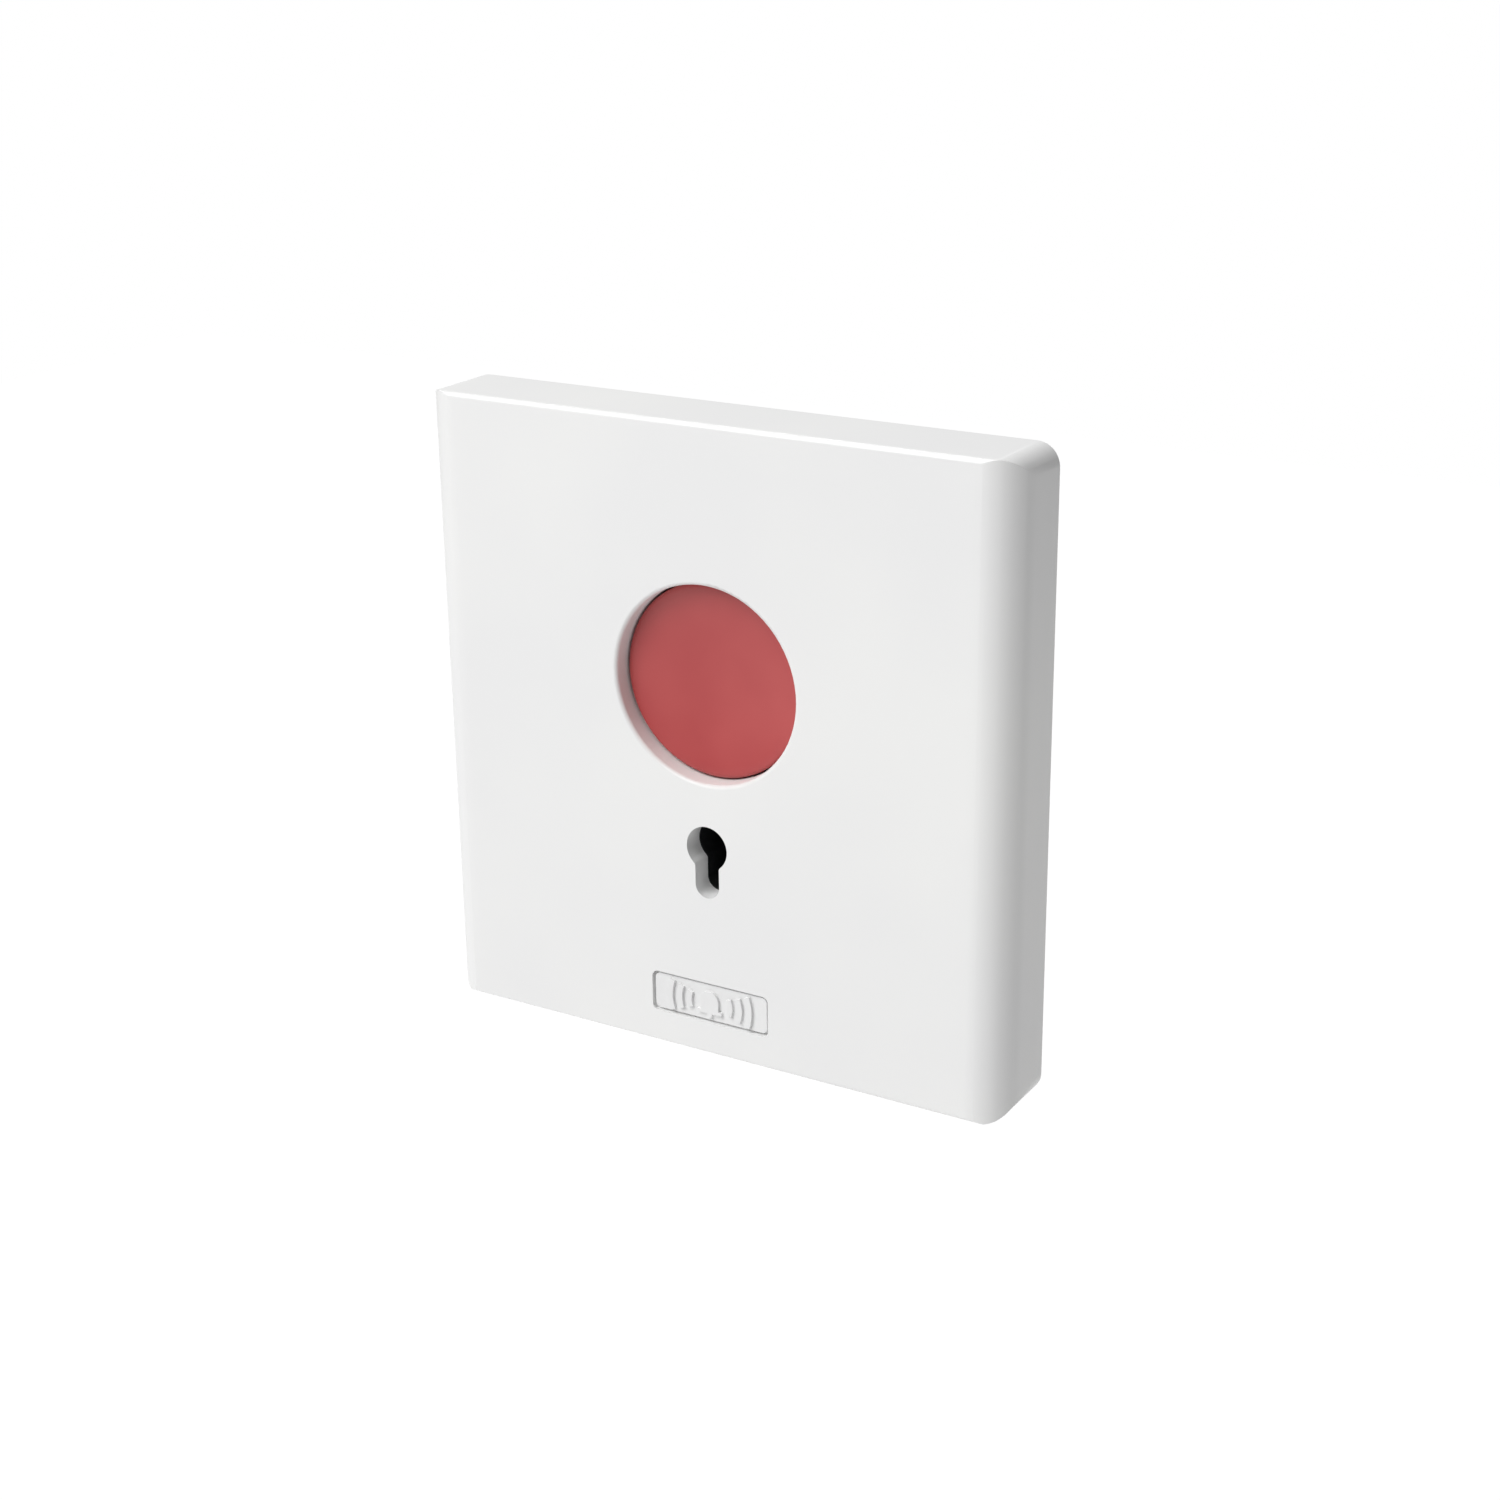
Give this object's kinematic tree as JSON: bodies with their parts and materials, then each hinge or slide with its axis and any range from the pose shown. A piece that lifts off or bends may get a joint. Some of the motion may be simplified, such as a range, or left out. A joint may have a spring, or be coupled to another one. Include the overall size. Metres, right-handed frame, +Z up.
{
  "type": "manual call point",
  "caption": "Square wall-mounted emergency call point with a recessed red push button, key-operated reset and a change-over contact with screw terminals behind it.",
  "frame": {"origin": "centre of the wall frame's back face, midway between the two wall-screw slots, on the wall plane", "axes": "+X to the right seen from the front, +Y into the wall, +Z up; the front face looks towards -Y"},
  "size_m": [0.086, 0.0325, 0.086],
  "materials": {
    "white_abs": "fine satin moulded",
    "emblem_white": "satin moulded",
    "frame_abs": "moulded",
    "red_abs": "satin moulded",
    "black_pom": "moulded",
    "black_abs": "fine textured moulded",
    "spring_steel": "drawn wire",
    "latch_steel": "stamped, nickel plated",
    "zinc_screw": "zinc plated",
    "strip_brass": "stamped",
    "leaf_bronze": "rolled spring bronze",
    "contact_silver": "silver contact",
    "clamp_steel": "nickel plated",
    "terminal_brass": "machined"
  },
  "bodies": {
    "chassis": {"front_cover": "white_abs", "emblem_plate": "emblem_white", "mounting_frame": "frame_abs", "mechanism_housing": "black_abs", "housing_screws": "zinc_screw", "rear_cover": "black_abs", "rear_cover_screws": "zinc_screw", "button_spring": "spring_steel", "latch_spring": "spring_steel", "common_strip": "strip_brass", "normally_closed_strip": "strip_brass", "normally_open_strip": "strip_brass", "normally_closed_contact": "contact_silver", "normally_open_contact": "contact_silver", "terminal_clamps": "clamp_steel", "terminal_screws": "terminal_brass"},
    "button": {"button_cap": "red_abs", "button_plunger": "black_pom", "plunger_clip": "spring_steel"},
    "rotor": {"key_rotor": "black_pom"},
    "latch": {"latch_plate": "latch_steel"},
    "moving_contact": {"contact_leaf": "leaf_bronze", "leaf_contact": "contact_silver"}
  },
  "joints": [
    {"name": "button_press", "type": "slide", "parent": "chassis", "child": "button", "axis": [0, 1, 0], "range_m": [0, 0.0032], "stiffness_N_per_m": 400, "springref_m": -0.004, "deforming": ["button_spring"]},
    {"name": "key_turn", "type": "hinge", "parent": "chassis", "child": "rotor", "pos_m": [0, 0, -0.0132], "axis": [0, 1, 0], "range_deg": [0, 40]},
    {"name": "latch_slide", "type": "slide", "parent": "chassis", "child": "latch", "axis": [0, 0, -1], "range_m": [0, 0.00252], "stiffness_N_per_m": 300, "springref_m": -0.001, "deforming": ["latch_spring"]},
    {"name": "contact_swing", "type": "hinge", "parent": "chassis", "child": "moving_contact", "pos_m": [-0.0038, 0.0123, 0.022], "axis": [0, 1, 0], "range_deg": [0, 4.64]}
  ],
  "couplings": [
    {"joint": "key_turn", "follows": "latch_slide", "rad_per_m": 277},
    {"joint": "contact_swing", "follows": "button_press", "rad_per_m": 25.24}
  ]
}
